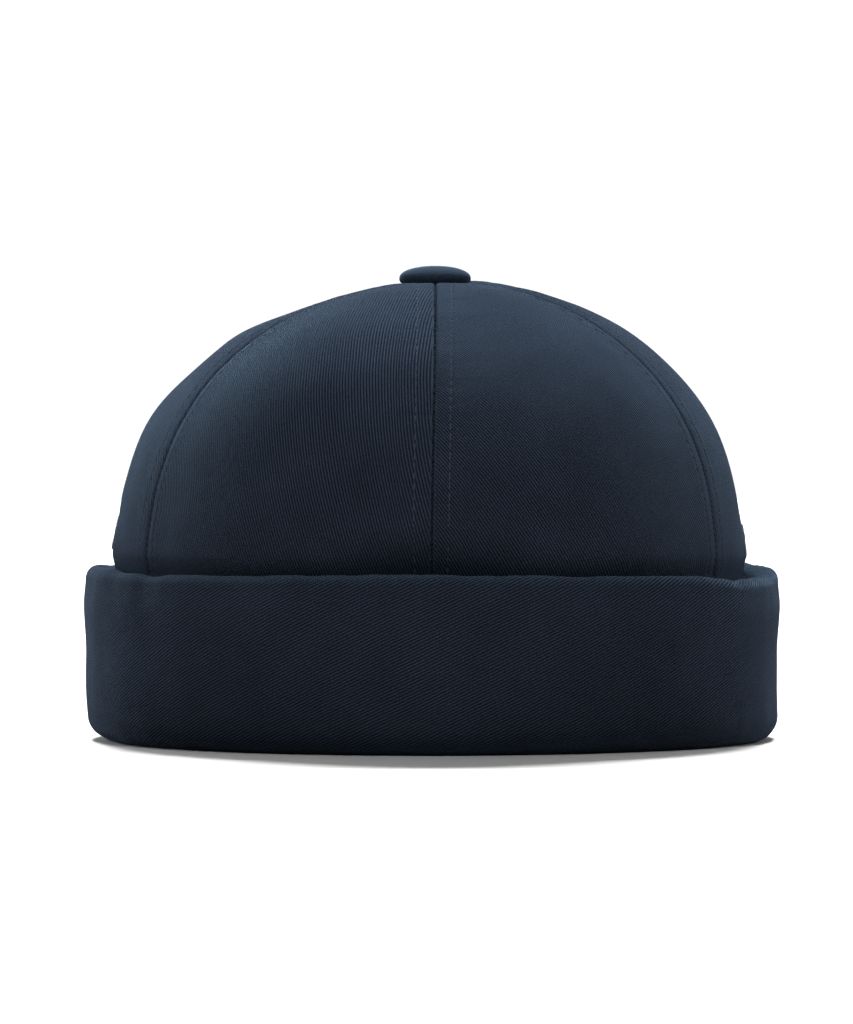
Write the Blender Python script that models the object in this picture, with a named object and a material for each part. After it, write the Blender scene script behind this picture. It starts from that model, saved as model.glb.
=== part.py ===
"""A brimless cap: six sewn crown panels, a cloth-covered top button, two stitched eyelets and a wide turned-up cuff.

Metres, +Z up, standing on its cuff at z = 0. The front faces -Y, and right means +X.
An angle goes round the cap from the front, 0, towards the right, 90.
"""

import math

import bmesh
import bpy
import numpy as np
from mathutils import Vector
from mathutils.bvhtree import BVHTree

# Cloth, and the gap left between neighbouring pieces
CLOTH = 0.0012
CLEARANCE = 0.0003

# Crown, measured on the outside of the cloth
CROWN_HALF_WIDTH = 0.0884
CROWN_HALF_LENGTH = 0.0980
CROWN_TOP = 0.1277
CROWN_WIDEST_HEIGHT = 0.020
DOME_POWER_UP = 3.4
DOME_POWER_OUT = 1.85
CROWN_LEAN = 0.0010
PANEL_PUFF = 0.0013
SHOULDER_PUFF = 0.0014
SHOULDER_SHARE = 0.21
SHOULDER_REACH = 0.65
FRONT_SEAM_ANGLE = 62.5
BACK_SEAM_ANGLE = 120.0

# Where the puff starts and is full, as shares of the cuff's height
PUFF_START = 0.5
PUFF_FULL = 1.5

# Soft tuck where the front of the crown drops behind the cuff
TUCK_DEPTH = 0.0016
TUCK_HALF_WIDTH = 0.026
TUCK_HALF_HEIGHT = 0.014

# Hollow under the top button
DIMPLE_DEPTH = 0.0004
DIMPLE_RADIUS = 0.014

# Cuff, a band of cloth folded double
CUFF_HEIGHT = 0.048
CUFF_BULGE = 0.0006
RIM_HOLLOW_RADIUS = 0.0018
POCKET_GAP = 0.0021
FOOT_FLAT_WIDTH = 0.0013
LEG_HOLLOW_RADIUS = 0.0018
LEG_LAP = 0.009
POCKET_LAP = 0.006
RIM_WAVE = 0.0015

# Top button
BUTTON_RADIUS = 0.010
BUTTON_HEIGHT = 0.0047
BUTTON_EDGE_SHARE = 0.25
BUTTON_CORNER_SHARE = 0.3
SHANK_RADIUS = 0.0019
SHANK_PLATE_RADIUS = 0.0045
SHANK_PLATE_THICKNESS = 0.0010
DOME_STEPS = 5

# Stitched eyelets
EYELET_ANGLE = 89.0
EYELET_LEFT_ABOVE_CUFF = 0.0095
EYELET_RIGHT_ABOVE_CUFF = 0.0072
EYELET_HOLE_RADIUS = 0.0017
EYELET_COLLAR = 0.0007
EYELET_OUTER_RADIUS = 0.0048
EYELET_INNER_RADIUS = 0.0034
EYELET_OUTER_RISE = 0.0008
EYELET_INNER_RISE = 0.0005
CUTTER_WALLS = 8.0

# Rounding of the stitched ring: its edge and hole side, as shares of its rise
THREAD_EDGE = 0.4
THREAD_HOLE_SIDE = 0.5

# How finely the curves are divided
PANEL_COLUMNS = 10
PANEL_ROWS = 15
CUFF_COLUMNS = 72
ROUND_STEPS = 20

# Each crown panel: its two seams, and how full it is beside the common puff
PANELS = (
    {"name": "front_right", "start": 0.0, "end": FRONT_SEAM_ANGLE, "puff": 0.8, "shoulder": 0.4},
    {"name": "side_right", "start": FRONT_SEAM_ANGLE, "end": BACK_SEAM_ANGLE, "puff": 0.4, "shoulder": 0.9},
    {"name": "back_right", "start": BACK_SEAM_ANGLE, "end": 180.0, "puff": 0.8, "shoulder": 0.8},
    {"name": "back_left", "start": -180.0, "end": -BACK_SEAM_ANGLE, "puff": 1.0, "shoulder": -0.8},
    {"name": "side_left", "start": -BACK_SEAM_ANGLE, "end": -FRONT_SEAM_ANGLE, "puff": 1.0, "shoulder": -1.1},
    {"name": "front_left", "start": -FRONT_SEAM_ANGLE, "end": 0.0, "puff": 1.0, "shoulder": -0.5},
)

# The cuff's outer face between its foot fold and rim: place up the face, and share of CUFF_BULGE
CUFF_FACE = (
    {"up": 0.45, "bulge": 0.2},
    {"up": 0.80, "bulge": 1.0},
)

# Height of the cuff's rim round the cap, as shares of RIM_WAVE
RIM_LINE = (
    {"angle": -180.0, "rise": 0.2},
    {"angle": -130.0, "rise": -0.3},
    {"angle": -90.0, "rise": -0.2},
    {"angle": -53.0, "rise": -0.4},
    {"angle": 0.0, "rise": 0.0},
    {"angle": 48.0, "rise": -0.7},
    {"angle": 68.0, "rise": -1.2},
    {"angle": 108.0, "rise": 0.3},
    {"angle": 150.0, "rise": -0.2},
    {"angle": 180.0, "rise": 0.2},
)

# Folds of the cuff, worked out from the cloth and its hollows
RIM_RADIUS = RIM_HOLLOW_RADIUS + CLOTH
LEG_RADIUS = LEG_HOLLOW_RADIUS + CLOTH
CUFF_STAND = POCKET_GAP + 2.0 * RIM_RADIUS
LEG_OFFSET = -(CLOTH + CLEARANCE + CLOTH)
FOOT_START = LEG_OFFSET + LEG_RADIUS
FOOT_END = FOOT_START + FOOT_FLAT_WIDTH
FOLD_RADIUS = CUFF_STAND - FOOT_END
HEM_HEIGHT = LEG_RADIUS
APEX_HOLE_RADIUS = SHANK_RADIUS + CLEARANCE
APEX_SHARE = APEX_HOLE_RADIUS / CROWN_HALF_WIDTH
FLAT_SHARE = (BUTTON_RADIUS + 2.0 * CLEARANCE) / CROWN_HALF_WIDTH


def smooth(value):
    """Rises from 0 to 1 with no corner at either end."""
    value = min(max(value, 0.0), 1.0)
    return value * value * (3.0 - 2.0 * value)


def dome_height(share):
    """Height where the crown's oval has this share of its widest size."""
    return CROWN_WIDEST_HEIGHT + (CROWN_TOP - CROWN_WIDEST_HEIGHT) * (
        1.0 - share**DOME_POWER_OUT
    ) ** (1.0 / DOME_POWER_UP)


def crown_rows(count):
    """(share, height) pairs: even steps along the cloth from the hem to the button, then the apex hole."""
    last = math.acos(FLAT_SHARE)
    shares = [1.0] + [math.cos(turn) for turn in np.linspace(0.0, last, 500)]
    heights = [HEM_HEIGHT] + [dome_height(share) for share in shares[1:]]
    steps = np.hypot(np.diff(shares) * CROWN_HALF_WIDTH, np.diff(heights))
    run = np.concatenate([[0.0], np.cumsum(steps)])
    even = np.linspace(0.0, run[-1], count)
    rows = list(zip(np.interp(even, run, shares), np.interp(even, run, heights)))
    return rows + [(APEX_SHARE, dome_height(APEX_SHARE))]


def lean(height):
    """How far the crown stands to the right at this height."""
    return CROWN_LEAN * smooth((height - CUFF_HEIGHT) / (CROWN_TOP - CUFF_HEIGHT))


def crown_normal(angle, share, height):
    """Outward direction of the smooth dome."""
    rise = max(height - CROWN_WIDEST_HEIGHT, 0.0) / (CROWN_TOP - CROWN_WIDEST_HEIGHT)
    out = DOME_POWER_OUT * share ** (DOME_POWER_OUT - 1.0)
    up = DOME_POWER_UP * rise ** (DOME_POWER_UP - 1.0) / (CROWN_TOP - CROWN_WIDEST_HEIGHT)
    return Vector((
        out * math.sin(angle) / CROWN_HALF_WIDTH,
        -out * math.cos(angle) / CROWN_HALF_LENGTH,
        up,
    )).normalized()


def crown_point(angle, share, height, swell):
    """A point on the crown's outer face, swollen outwards from the smooth dome."""
    point = Vector((
        CROWN_HALF_WIDTH * share * math.sin(angle),
        -CROWN_HALF_LENGTH * share * math.cos(angle),
        height,
    ))
    point += crown_normal(angle, share, height) * swell
    dip = max(1.0 - (share * CROWN_HALF_WIDTH / DIMPLE_RADIUS) ** 2, 0.0)
    point.z -= DIMPLE_DEPTH * dip**2
    point.x += lean(height)
    return point


def panel_swell(panel, across, angle, share, height):
    """Puff of a panel between its seams, less the soft tuck low at the front."""
    over_cuff = smooth((height / CUFF_HEIGHT - PUFF_START) / (PUFF_FULL - PUFF_START))
    near_apex = smooth((share - FLAT_SHARE) / SHOULDER_SHARE)
    arch = 4.0 * across * (1.0 - across)
    shoulder = near_apex * smooth((SHOULDER_REACH - share) / SHOULDER_SHARE)
    puff = PANEL_PUFF * panel["puff"] * over_cuff * near_apex
    puff += SHOULDER_PUFF * panel["shoulder"] * shoulder
    aside = CROWN_HALF_WIDTH * math.sin(angle) / TUCK_HALF_WIDTH
    above = (height - CUFF_HEIGHT) / TUCK_HALF_HEIGHT
    front = math.cos(angle) > 0.0
    tuck = TUCK_DEPTH * smooth(1.0 - abs(aside)) * smooth(1.0 - abs(above)) if front else 0.0
    return puff * arch - tuck


def seam_allowance(angle, share):
    """Angle that leaves half a clearance between a panel's edge and its seam."""
    radius = math.hypot(CROWN_HALF_WIDTH * math.sin(angle), CROWN_HALF_LENGTH * math.cos(angle))
    return 0.5 * CLEARANCE * radius / (share * CROWN_HALF_WIDTH * CROWN_HALF_LENGTH)


def cloth_material(name, colour, roughness):
    material = bpy.data.materials.new(name)
    material.use_nodes = True
    shader = material.node_tree.nodes["Principled BSDF"]
    shader.inputs["Base Color"].default_value = (*colour, 1.0)
    shader.inputs["Roughness"].default_value = roughness
    shader.inputs["Metallic"].default_value = 0.0
    shader.inputs["Sheen Weight"].default_value = 0.3
    material.diffuse_color = (*colour, 1.0)
    return material


def finish_object(name, shape, material, sharp_angle):
    """Makes an object of the bmesh, shaded smooth away from its sharp edges."""
    mesh = bpy.data.meshes.new(name)
    shape.to_mesh(mesh)
    shape.free()
    mesh.shade_smooth()
    mesh.set_sharp_from_angle(angle=math.radians(sharp_angle))
    mesh.materials.append(material)
    made = bpy.data.objects.new(name, mesh)
    bpy.context.scene.collection.objects.link(made)
    return made


def add_cloth_thickness(made):
    """Gives a sheet its wall, on the side away from the face that shows."""
    wall = made.modifiers.new("cloth", "SOLIDIFY")
    wall.thickness = CLOTH
    wall.offset = -1.0
    wall.use_even_offset = True
    wall.use_quality_normals = True


def crown_panel(panel, rows, material):
    """One gore of the crown, from the hem inside the cuff up to the apex hole."""
    shape = bmesh.new()
    bmesh.ops.create_grid(shape, x_segments=PANEL_COLUMNS, y_segments=PANEL_ROWS, size=0.5)
    start = math.radians(panel["start"])
    end = math.radians(panel["end"])
    for vert in shape.verts:
        across = vert.co.x + 0.5
        share, height = rows[round((vert.co.y + 0.5) * PANEL_ROWS)]
        first = start + seam_allowance(start, share)
        last = end - seam_allowance(end, share)
        angle = first + (last - first) * across
        swell = panel_swell(panel, across, angle, share, height)
        vert.co = crown_point(angle, share, height, swell)
    made = finish_object("crown_panel_" + panel["name"], shape, material, 60.0)
    add_cloth_thickness(made)
    return made


def rim_rise(angle):
    """Height of the rim above or below its mean line at an angle in degrees."""
    angle = (angle + 180.0) % 360.0 - 180.0
    for here, there in zip(RIM_LINE, RIM_LINE[1:]):
        if here["angle"] <= angle <= there["angle"]:
            along = (angle - here["angle"]) / (there["angle"] - here["angle"])
            return RIM_WAVE * (here["rise"] + (there["rise"] - here["rise"]) * smooth(along))
    return 0.0


def arc(centre_offset, centre_height, radius, first, last, steps):
    """Points of a fold in the cuff's section, with angles in degrees."""
    turns = [math.radians(first + (last - first) * step / steps) for step in range(steps + 1)]
    return [
        (centre_offset + radius * math.cos(turn), centre_height + radius * math.sin(turn))
        for turn in turns
    ]


def cuff_section(rise):
    """(offset from the crown, height) along the face that shows: leg, foot, outer face, rim and pocket."""
    rim_height = CUFF_HEIGHT - RIM_RADIUS + rise
    pocket_height = HEM_HEIGHT + POCKET_LAP
    path = [(LEG_OFFSET, HEM_HEIGHT + LEG_LAP)]
    path += arc(FOOT_START, LEG_RADIUS, LEG_RADIUS, 180.0, 270.0, 2)
    path += arc(FOOT_END, FOLD_RADIUS, FOLD_RADIUS, 270.0, 360.0, 3)
    face = rim_height - FOLD_RADIUS
    path += [(CUFF_STAND + CUFF_BULGE * row["bulge"], FOLD_RADIUS + face * row["up"]) for row in CUFF_FACE]
    path += arc(CUFF_STAND - RIM_RADIUS, rim_height, RIM_RADIUS, 0.0, 180.0, 4)
    path += [((POCKET_GAP + CLEARANCE) / 2.0, (rim_height + pocket_height) / 2.0)]
    path += [(CLEARANCE, pocket_height)]
    return path


def oval_point(angle, offset):
    """A point in plan, offset square from the crown's widest oval."""
    point = Vector((CROWN_HALF_WIDTH * math.sin(angle), -CROWN_HALF_LENGTH * math.cos(angle)))
    normal = Vector((CROWN_HALF_LENGTH * math.sin(angle), -CROWN_HALF_WIDTH * math.cos(angle)))
    return point + normal.normalized() * offset


def cuff(material):
    """The turned-up band, one strip of cloth swept round the crown and folded at its foot and rim."""
    strips = len(cuff_section(0.0)) - 1
    shape = bmesh.new()
    bmesh.ops.create_grid(shape, x_segments=CUFF_COLUMNS, y_segments=strips, size=0.5)
    for vert in shape.verts:
        turn = round((vert.co.x + 0.5) * CUFF_COLUMNS) / CUFF_COLUMNS
        angle = 2.0 * math.pi * turn - math.pi
        offset, height = cuff_section(rim_rise(math.degrees(angle)))[round((vert.co.y + 0.5) * strips)]
        plan = oval_point(angle, offset)
        vert.co = (plan.x, plan.y, height)
    bmesh.ops.remove_doubles(shape, verts=shape.verts, dist=1e-6)
    made = finish_object("cuff", shape, material, 60.0)
    add_cloth_thickness(made)
    return made


def turned(profile, closed):
    """A bmesh turned round +Z from (radius, height) points that run up the outside."""
    shape = bmesh.new()
    verts = [shape.verts.new((radius, 0.0, height)) for radius, height in profile]
    edges = [shape.edges.new(pair) for pair in zip(verts, verts[1:])]
    if closed:
        edges.append(shape.edges.new((verts[-1], verts[0])))
    bmesh.ops.spin(
        shape,
        geom=verts + edges,
        cent=(0.0, 0.0, 0.0),
        axis=(0.0, 0.0, 1.0),
        dvec=(0.0, 0.0, 0.0),
        angle=2.0 * math.pi,
        steps=ROUND_STEPS,
        use_merge=True,
    )
    bmesh.ops.remove_doubles(shape, verts=shape.verts, dist=1e-6)
    bmesh.ops.recalc_face_normals(shape, faces=shape.faces)
    return shape


def top_button(material):
    """A covered button: a low dome on a shank that passes through the apex and ends in a flat plate."""
    apex = dome_height(APEX_SHARE) - DIMPLE_DEPTH
    underside = CLEARANCE
    curl = BUTTON_HEIGHT * BUTTON_EDGE_SHARE
    dome = BUTTON_HEIGHT - curl
    edge = underside + curl
    plate_top = -(CLOTH + CLEARANCE)
    profile = [
        (0.0, plate_top - SHANK_PLATE_THICKNESS),
        (SHANK_PLATE_RADIUS, plate_top - SHANK_PLATE_THICKNESS),
        (SHANK_PLATE_RADIUS, plate_top),
        (SHANK_RADIUS, plate_top),
        (SHANK_RADIUS, underside),
        (BUTTON_RADIUS - curl, underside),
        (BUTTON_RADIUS - curl * BUTTON_CORNER_SHARE, underside + curl * BUTTON_CORNER_SHARE),
    ]
    for step in range(DOME_STEPS):
        turn = math.radians(90.0 * step / DOME_STEPS)
        profile.append((BUTTON_RADIUS * math.cos(turn), edge + dome * math.sin(turn)))
    profile.append((0.0, edge + dome))
    made = finish_object("top_button", turned(profile, False), material, 50.0)
    made.location = (lean(apex), 0.0, apex)
    return made


def eyelet_seat(panel_object, side, height):
    """The place and outward direction of an eyelet on a side panel's faceted face."""
    tree = BVHTree.FromPolygons(
        [vert.co for vert in panel_object.data.vertices],
        [tuple(face.vertices) for face in panel_object.data.polygons],
    )
    angle = math.radians(EYELET_ANGLE) * side
    out = Vector((math.sin(angle), -math.cos(angle), 0.0))
    place, normal, _, _ = tree.ray_cast(Vector((0.0, 0.0, height)), out)
    return place, normal


def eyelet(name, place, normal, material):
    """Thread stitched over the edge of a round hole, standing out on both faces of the cloth."""
    outer = CLEARANCE
    inner = -(CLOTH + CLEARANCE)
    collar = EYELET_HOLE_RADIUS + EYELET_COLLAR
    profile = [
        (EYELET_HOLE_RADIUS, inner - EYELET_INNER_RISE * THREAD_HOLE_SIDE),
        (collar, inner - EYELET_INNER_RISE),
        (EYELET_INNER_RADIUS, inner - EYELET_INNER_RISE * THREAD_EDGE),
        (EYELET_INNER_RADIUS, inner),
        (collar, inner),
        (collar, outer),
        (EYELET_OUTER_RADIUS, outer),
        (EYELET_OUTER_RADIUS, outer + EYELET_OUTER_RISE * THREAD_EDGE),
        ((collar + EYELET_OUTER_RADIUS) / 2.0, outer + EYELET_OUTER_RISE),
        (EYELET_HOLE_RADIUS, outer + EYELET_OUTER_RISE * THREAD_HOLE_SIDE),
    ]
    made = finish_object(name, turned(profile, True), material, 50.0)
    made.location = place
    made.rotation_mode = "QUATERNION"
    made.rotation_quaternion = normal.to_track_quat("Z", "Y")
    return made


def cut_eyelet_hole(panel_object, eyelet_object):
    """Cuts the round hole that the eyelet's collar passes through."""
    shape = bmesh.new()
    bmesh.ops.create_cone(
        shape,
        cap_ends=True,
        segments=ROUND_STEPS,
        radius1=EYELET_HOLE_RADIUS + EYELET_COLLAR + CLEARANCE,
        radius2=EYELET_HOLE_RADIUS + EYELET_COLLAR + CLEARANCE,
        depth=CUTTER_WALLS * CLOTH,
    )
    mesh = bpy.data.meshes.new(eyelet_object.name + "_cutter")
    shape.to_mesh(mesh)
    shape.free()
    cutter = bpy.data.objects.new(mesh.name, mesh)
    bpy.context.scene.collection.objects.link(cutter)
    cutter.location = eyelet_object.location
    cutter.rotation_mode = "QUATERNION"
    cutter.rotation_quaternion = eyelet_object.rotation_quaternion
    cutter.hide_render = True
    cutter.display_type = "WIRE"
    hole = panel_object.modifiers.new("eyelet hole", "BOOLEAN")
    hole.operation = "DIFFERENCE"
    hole.solver = "EXACT"
    hole.object = cutter


for old in list(bpy.data.objects):
    bpy.data.objects.remove(old)

navy_twill = (0.017, 0.023, 0.037)
satin_thread = (0.026, 0.028, 0.05)
profile_rows = crown_rows(PANEL_ROWS)
panels = {}
for row in PANELS:
    twill = cloth_material("crown_twill_" + row["name"], navy_twill, 0.9)
    panels[row["name"]] = crown_panel(row, profile_rows, twill)
cuff(cloth_material("cuff_twill", navy_twill, 0.9))
top_button(cloth_material("button_twill", navy_twill, 0.88))
for side_name, side_sign, above_cuff in (
    ("left", -1, EYELET_LEFT_ABOVE_CUFF),
    ("right", 1, EYELET_RIGHT_ABOVE_CUFF),
):
    side_panel = panels["side_" + side_name]
    seat, outwards = eyelet_seat(side_panel, side_sign, CUFF_HEIGHT + above_cuff)
    thread = cloth_material("eyelet_thread_" + side_name, satin_thread, 0.6)
    ring = eyelet("eyelet_" + side_name, seat, outwards, thread)
    cut_eyelet_hole(side_panel, ring)
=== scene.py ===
import math

import bmesh
import bpy
import numpy as np
from mathutils import Matrix, Vector, noise


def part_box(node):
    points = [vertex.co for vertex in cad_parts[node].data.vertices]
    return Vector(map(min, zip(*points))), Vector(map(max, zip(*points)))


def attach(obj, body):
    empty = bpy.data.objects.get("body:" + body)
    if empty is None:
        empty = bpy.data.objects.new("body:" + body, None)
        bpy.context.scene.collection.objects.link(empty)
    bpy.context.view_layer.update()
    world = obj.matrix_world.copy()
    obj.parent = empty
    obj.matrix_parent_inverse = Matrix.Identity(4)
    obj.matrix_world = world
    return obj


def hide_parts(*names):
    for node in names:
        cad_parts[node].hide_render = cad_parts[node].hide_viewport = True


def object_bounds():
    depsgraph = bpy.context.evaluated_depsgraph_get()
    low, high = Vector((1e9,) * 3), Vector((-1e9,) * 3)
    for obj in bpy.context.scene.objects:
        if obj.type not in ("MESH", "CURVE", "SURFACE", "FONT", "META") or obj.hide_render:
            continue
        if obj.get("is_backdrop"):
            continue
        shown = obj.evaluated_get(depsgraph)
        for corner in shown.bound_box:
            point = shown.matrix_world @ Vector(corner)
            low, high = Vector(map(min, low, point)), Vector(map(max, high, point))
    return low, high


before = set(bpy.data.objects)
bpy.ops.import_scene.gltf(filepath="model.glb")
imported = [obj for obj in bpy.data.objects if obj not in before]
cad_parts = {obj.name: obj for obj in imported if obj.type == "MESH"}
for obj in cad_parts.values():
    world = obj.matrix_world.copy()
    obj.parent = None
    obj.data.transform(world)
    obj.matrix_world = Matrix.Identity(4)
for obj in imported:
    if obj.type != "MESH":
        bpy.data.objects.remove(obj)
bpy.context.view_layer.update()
cuff_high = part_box("cuff")[1]

# Crown panels
# Six gores of navy cotton twill, cut with the warp up the middle and sewn into an oval dome. Each side edge
# is folded back inside and held flat by a row of topstitching, so the cloth is double beside every seam.
MILLIMETRES = 1000.0
CLOTH = 0.00054

# The dome is an oval in plan, set in from the cuff's face, with a rounded profile that is flat under the
# button and leans a little to the right.
CUFF_STAND = 0.0081
CUFF_BULGE = 0.0006
CROWN_HALF_WIDTH = cuff_high[0] - CUFF_STAND - CUFF_BULGE
CROWN_HALF_LENGTH = cuff_high[1] - CUFF_STAND - CUFF_BULGE
CUFF_HEIGHT = 0.048
CROWN_TOP = 0.1277
CROWN_WIDEST_HEIGHT = 0.020
DOME_POWER_UP = 3.4
DOME_POWER_OUT = 1.85
CROWN_LEAN = 0.0010
HEM_HEIGHT = 0.003
APEX_HOLE_RADIUS = 0.0022
FLAT_RADIUS = 0.0106
FLAT_SHARE = FLAT_RADIUS / CROWN_HALF_WIDTH
DIMPLE_DEPTH = 0.0004
DIMPLE_RADIUS = 0.014

# Each panel spans two seams, in degrees from the front, and puffs between them. The cuff draws the cloth in.
PANEL_PUFF = 0.0013
SHOULDER_PUFF = 0.0014
SHOULDER_SHARE = 0.21
SHOULDER_REACH = 0.65
TUCK_DEPTH = 0.0064
TUCK_HALF_WIDTH = 0.030
TUCK_HALF_HEIGHT = 0.0125
PINCH_DEPTH = 0.0011
PINCH_HALF_HEIGHT = 0.0055
PINCH_BELOW_RIM = 0.001
PANELS = (
    {"name": "front_right", "start": 0.0, "end": 62.5, "puff": 0.8, "shoulder": 0.4, "grain": -8.0},
    {"name": "side_right", "start": 62.5, "end": 120.0, "puff": 0.4, "shoulder": 0.9, "grain": 0.0},
    {"name": "back_right", "start": 120.0, "end": 180.0, "puff": 0.8, "shoulder": 0.8, "grain": -4.0},
    {"name": "back_left", "start": -180.0, "end": -120.0, "puff": 1.0, "shoulder": -0.8, "grain": 3.0},
    {"name": "side_left", "start": -120.0, "end": -62.5, "puff": 1.0, "shoulder": -1.1, "grain": -5.0},
    {"name": "front_left", "start": -62.5, "end": 0.0, "puff": 1.0, "shoulder": -0.5, "grain": 4.0},
)

# Each seam is two folded edges with a gap; beside it the topstitching presses a groove and draws up puckers.
OPEN_FOLD = {"radius": 0.0005, "gap": 0.00031}
FLAT_FOLD = {"radius": 0.0004, "gap": 0.00015}
FOLD_TURNS = (270.0, 232.0, 205.0, 180.0, 155.0, 128.0, 90.0)
STITCH_ROW_START = 0.0045
STITCH_ROW_END = 0.0049
STITCH_PITCH = 0.0028
STITCH_GROOVE = 0.00030
STITCH_GROOVE_WIDTH = 0.0005
GROOVE_MEAN = 0.7
GROOVE_SWING = 0.3
FLANK_RISE = 0.00028
FLANK_FOOT = 0.0014
FLANK_FADE = 0.0035
PUCKER = 0.00016
PUCKER_REACH = 0.0055
PUCKER_FOOT = 0.001
PUCKER_WAVE = 0.0042
SMALL_PUCKER_WAVE = 0.0019
SMALL_PUCKER_SHARE = 0.6
SMALL_PUCKER_SEED = 5.0
END_SEAM_SEED = 0.5
RELIEF_REACH = 0.03
RELIEF_APEX_SHARE = 0.06
RELIEF_APEX_FADE = 0.10

# The soft cloth is nowhere quite even.
BROAD_UNEVEN = 0.00055
BROAD_WAVE = 0.045
BROAD_START = Vector((3.1, 0.0, 7.7))
FINE_UNEVEN = 0.00010
FINE_WAVE = 0.013
FINE_START = Vector((0.0, 9.2, 1.3))
UNEVEN_FOOT = 0.030
UNEVEN_FADE = 0.020
UNEVEN_APEX_SHARE = 0.7 * FLAT_SHARE
UNEVEN_APEX_FADE = 0.07
SOFT_LUMPS = (
    {"at": (-0.0815, 0.0, 0.091), "reach": 0.015, "rise": 0.0010},
    {"at": (-0.0680, 0.0, 0.107), "reach": 0.011, "rise": -0.0008},
    {"at": (-0.0890, 0.0, 0.051), "reach": 0.011, "rise": 0.0011},
    {"at": (-0.0870, -0.013, 0.055), "reach": 0.0045, "rise": 0.0005},
    {"at": (-0.0900, -0.006, 0.068), "reach": 0.006, "rise": 0.0004},
    {"at": (-0.0870, 0.0, 0.062), "reach": 0.010, "rise": -0.0008},
    {"at": (0.0870, 0.0, 0.066), "reach": 0.015, "rise": -0.0009},
    {"at": (0.0870, -0.010, 0.052), "reach": 0.006, "rise": 0.0004},
    {"at": (0.0540, 0.0, 0.112), "reach": 0.010, "rise": 0.0006},
    {"at": (-0.0225, 0.0, 0.125), "reach": 0.012, "rise": -0.0006},
    {"at": (0.0150, 0.012, 0.128), "reach": 0.009, "rise": 0.0014},
    {"at": (0.0300, 0.0, 0.125), "reach": 0.010, "rise": -0.0006},
    {"at": (0.0430, 0.0, 0.120), "reach": 0.011, "rise": -0.0007},
)

# Mesh lines of a panel: rows up the cloth, and columns at these distances from each seam and evenly between.
PANEL_ROWS = 250
PANEL_MIDDLE_COLUMNS = 22
FLANK_SHARE = 0.85
FLANK_STEPS = (
    0.0009, 0.0014, 0.0022, 0.0030, 0.0037, 0.0041, 0.0044, 0.0047, 0.0050, 0.0054, 0.0060, 0.0070, 0.0085,
)
ALLOWANCE_STEPS = (0.0058, 0.0044, 0.0030, 0.0018, 0.0010)
FOLD_END = len(ALLOWANCE_STEPS) + len(FOLD_TURNS) - 1
PROFILE_STEPS = 800


def smooth(value):
    """Rises from 0 to 1 with no corner at either end."""
    value = min(max(value, 0.0), 1.0)
    return value * value * (3.0 - 2.0 * value)


def dome_height(share):
    """Height where the crown's oval has this share of its widest size."""
    rise = (1.0 - share**DOME_POWER_OUT) ** (1.0 / DOME_POWER_UP)
    return CROWN_WIDEST_HEIGHT + (CROWN_TOP - CROWN_WIDEST_HEIGHT) * rise


profile_turns = np.linspace(0.0, math.acos(APEX_HOLE_RADIUS / CROWN_HALF_WIDTH), PROFILE_STEPS)
profile_share = np.concatenate([[1.0], np.cos(profile_turns)])
profile_height = np.concatenate([[HEM_HEIGHT], dome_height(np.cos(profile_turns))])
profile_steps = np.hypot(np.diff(profile_share) * CROWN_HALF_WIDTH, np.diff(profile_height))
profile_along = np.concatenate([[0.0], np.cumsum(profile_steps)])
PANEL_LENGTH = float(profile_along[-1])


def profile_at(along):
    """(share of the widest oval, height) at a distance along the cloth from the hem."""
    share = float(np.interp(along, profile_along, profile_share))
    return share, float(np.interp(along, profile_along, profile_height))


def lean(height):
    """How far the crown stands to the right at this height."""
    return CROWN_LEAN * smooth((height - CUFF_HEIGHT) / (CROWN_TOP - CUFF_HEIGHT))


def crown_normal(angle, share, height):
    """Outward direction of the smooth dome."""
    rise = max(height - CROWN_WIDEST_HEIGHT, 0.0) / (CROWN_TOP - CROWN_WIDEST_HEIGHT)
    out = DOME_POWER_OUT * share ** (DOME_POWER_OUT - 1.0)
    up = DOME_POWER_UP * rise ** (DOME_POWER_UP - 1.0) / (CROWN_TOP - CROWN_WIDEST_HEIGHT)
    along_x = out * math.sin(angle) / CROWN_HALF_WIDTH
    along_y = -out * math.cos(angle) / CROWN_HALF_LENGTH
    return Vector((along_x, along_y, up)).normalized()


def crown_point(angle, share, height, swell):
    """A point moved out from the smooth dome along its normal."""
    point = Vector((
        CROWN_HALF_WIDTH * share * math.sin(angle),
        -CROWN_HALF_LENGTH * share * math.cos(angle),
        height,
    ))
    point += crown_normal(angle, share, height) * swell
    dip = max(1.0 - (share * CROWN_HALF_WIDTH / DIMPLE_RADIUS) ** 2, 0.0)
    point.z -= DIMPLE_DEPTH * dip**2
    point.x += lean(height)
    return point


def panel_swell(panel, angle, share, height):
    """Puff of a panel between its seams, less the soft tuck low at the front and the pinch by the rim."""
    across = (angle - math.radians(panel["start"])) / math.radians(panel["end"] - panel["start"])
    arch = 4.0 * across * (1.0 - across)
    over_cuff = smooth(height / CUFF_HEIGHT - 0.5)
    near_apex = smooth((share - FLAT_SHARE) / SHOULDER_SHARE)
    shoulder = near_apex * smooth((SHOULDER_REACH - share) / SHOULDER_SHARE)
    puff = PANEL_PUFF * panel["puff"] * over_cuff * near_apex + SHOULDER_PUFF * panel["shoulder"] * shoulder
    tuck = 0.0
    if math.cos(angle) > 0.0:
        aside = CROWN_HALF_WIDTH * math.sin(angle) / TUCK_HALF_WIDTH
        above = (height - CUFF_HEIGHT) / TUCK_HALF_HEIGHT
        tuck = TUCK_DEPTH * smooth(1.0 - abs(aside)) * smooth(1.0 - abs(above))
    pinch = PINCH_DEPTH * smooth(1.0 - abs(height - CUFF_HEIGHT + PINCH_BELOW_RIM) / PINCH_HALF_HEIGHT)
    return puff * arch - tuck - pinch


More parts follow.
